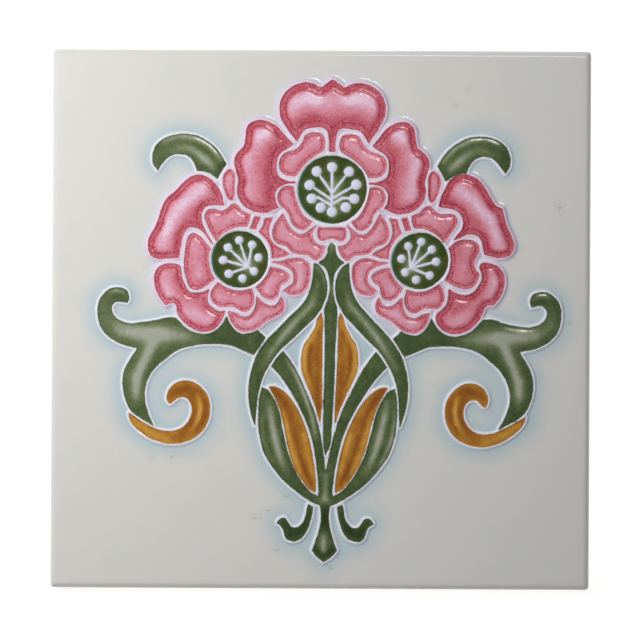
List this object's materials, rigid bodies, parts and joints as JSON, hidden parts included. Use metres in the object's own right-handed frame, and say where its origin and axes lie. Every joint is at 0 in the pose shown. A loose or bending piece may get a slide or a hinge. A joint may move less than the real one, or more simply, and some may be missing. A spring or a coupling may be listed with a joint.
{
  "type": "art nouveau relief tile",
  "caption": "Square glazed wall tile with a raised floral ornament in coloured glazes, cushioned edges and a ribbed back.",
  "frame": {"origin": "middle of the back, on the plane that the rim and ribs rest on", "axes": "+Z out of the glazed face, +Y towards the ornament's top, +X to the right as one faces the tile"},
  "size_m": [0.152, 0.152, 0.0101],
  "materials": {
    "glaze": "gloss"
  },
  "bodies": {
    "root": {"tile": "glaze"}
  },
  "joints": []
}
